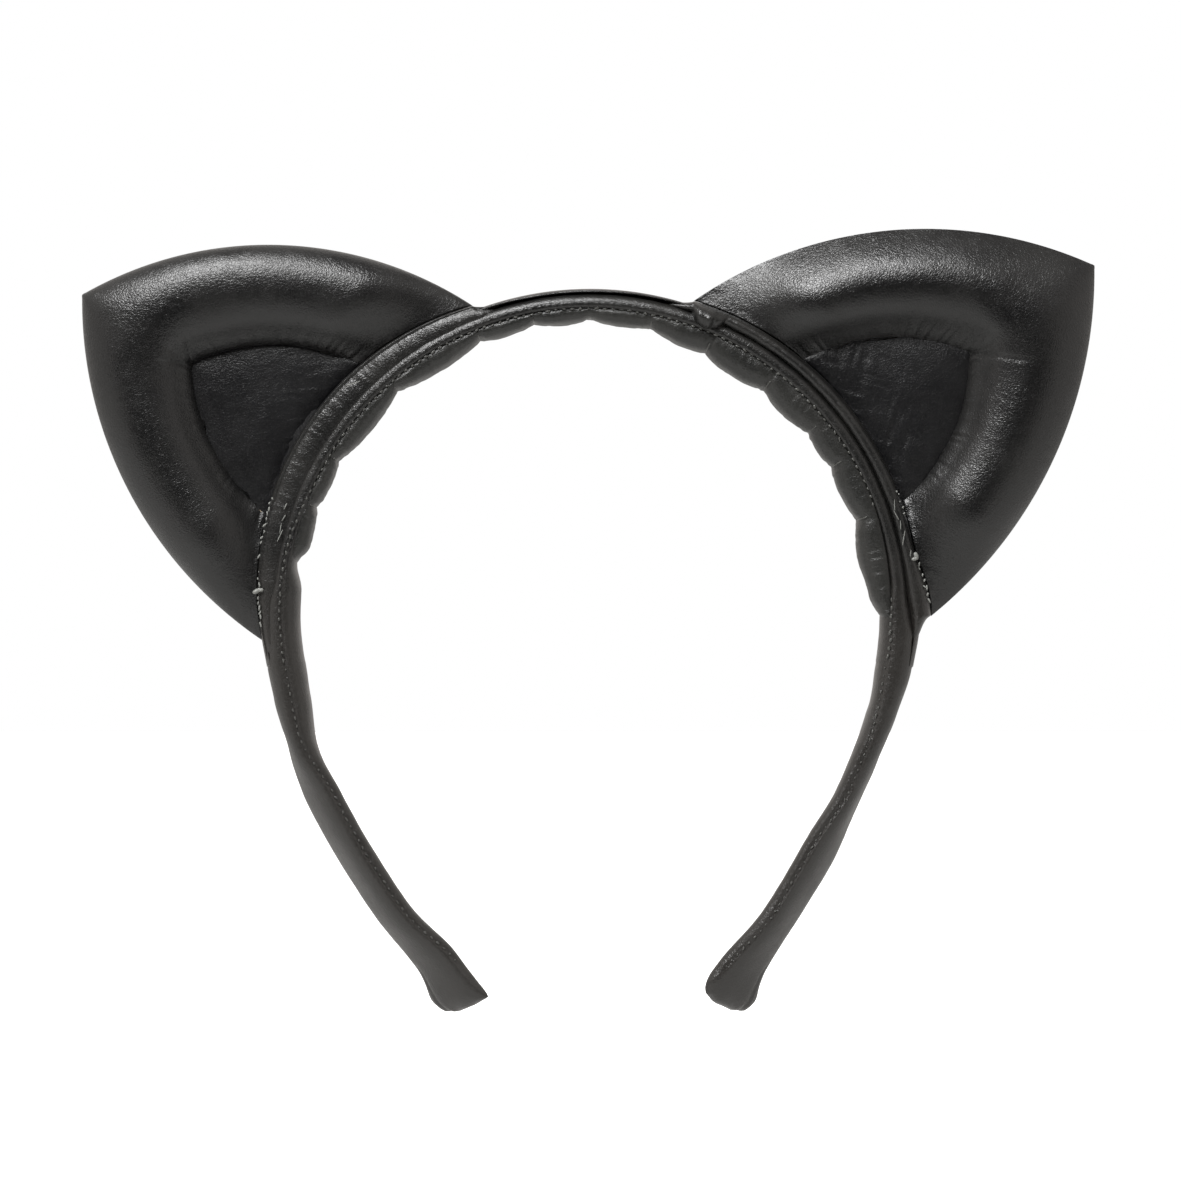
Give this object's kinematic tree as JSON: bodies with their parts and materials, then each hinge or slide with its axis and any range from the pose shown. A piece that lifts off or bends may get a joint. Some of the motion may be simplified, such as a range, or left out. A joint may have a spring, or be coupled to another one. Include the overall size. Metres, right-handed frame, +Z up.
{
  "type": "animal ears headband",
  "caption": "Sprung headband in a padded black leather sleeve, with two stuffed, pointed cat ears standing out from its upper sides.",
  "frame": {"origin": "underside of the lining at the top of the crown, in the middle of the band's width, where the band rests on the head", "axes": "+X to the right ear as seen from the front, +Y from the front to the back of the head, +Z up"},
  "size_m": [0.2165, 0.0135, 0.1684],
  "materials": {
    "band_leather": "soft sheen, fine grain, creased where the band bends",
    "ear_leather": "satin sheen, fine pebbled grain, wrinkled at the seams",
    "panel_leather": "duller than the rim, fine grain and faint creases",
    "lining_leather": "soft satin, puffed between its ties",
    "black_thread": "twisted sewing thread",
    "base_thread": "pale loose twisted thread",
    "spring_steel": "blued spring strip",
    "band_foam": "closed-cell foam wrap",
    "rim_foam": "soft foam roll",
    "wadding": "loose polyester wadding",
    "stiffener_board": "stiff bonded fibre board",
    "cap_plastic": "moulded, dull"
  },
  "bodies": {
    "crown": {"crown_core": "spring_steel", "crown_padding": "band_foam", "crown_sleeve": "band_leather", "crown_lining": "lining_leather", "crown_top_strip": "band_leather", "crown_seam_thread": "black_thread", "crown_lining_ties": "black_thread", "left_ear_stiffener": "stiffener_board", "left_ear_rim_padding": "rim_foam", "left_ear_rim_cover": "ear_leather", "left_ear_inner_panel": "panel_leather", "left_ear_back_wadding": "wadding", "left_ear_back_panel": "ear_leather", "left_ear_front_flap": "band_leather", "left_ear_back_flap": "band_leather", "left_ear_base_thread": "base_thread", "right_ear_stiffener": "stiffener_board", "right_ear_rim_padding": "rim_foam", "right_ear_rim_cover": "ear_leather", "right_ear_inner_panel": "panel_leather", "right_ear_back_wadding": "wadding", "right_ear_back_panel": "ear_leather", "right_ear_front_flap": "band_leather", "right_ear_back_flap": "band_leather", "right_ear_base_thread": "base_thread"},
    "left_leg": {"left_leg_core": "spring_steel", "left_leg_padding": "band_foam", "left_leg_sleeve": "band_leather", "left_leg_seam_thread": "black_thread", "left_leg_end_cap": "cap_plastic", "left_leg_end_tab": "band_leather"},
    "right_leg": {"right_leg_core": "spring_steel", "right_leg_padding": "band_foam", "right_leg_sleeve": "band_leather", "right_leg_seam_thread": "black_thread", "right_leg_end_cap": "cap_plastic", "right_leg_end_tab": "band_leather"}
  },
  "joints": [
    {"name": "left_leg_flex", "type": "hinge", "parent": "crown", "child": "left_leg", "pos_m": [-0.0649, 0, -0.07324], "axis": [0, 1, 0], "range_deg": [-5, 18], "stiffness_Nm_per_rad": 1.2},
    {"name": "right_leg_flex", "type": "hinge", "parent": "crown", "child": "right_leg", "pos_m": [0.0649, 0, -0.07324], "axis": [0, -1, 0], "range_deg": [-5, 18], "stiffness_Nm_per_rad": 1.2}
  ]
}
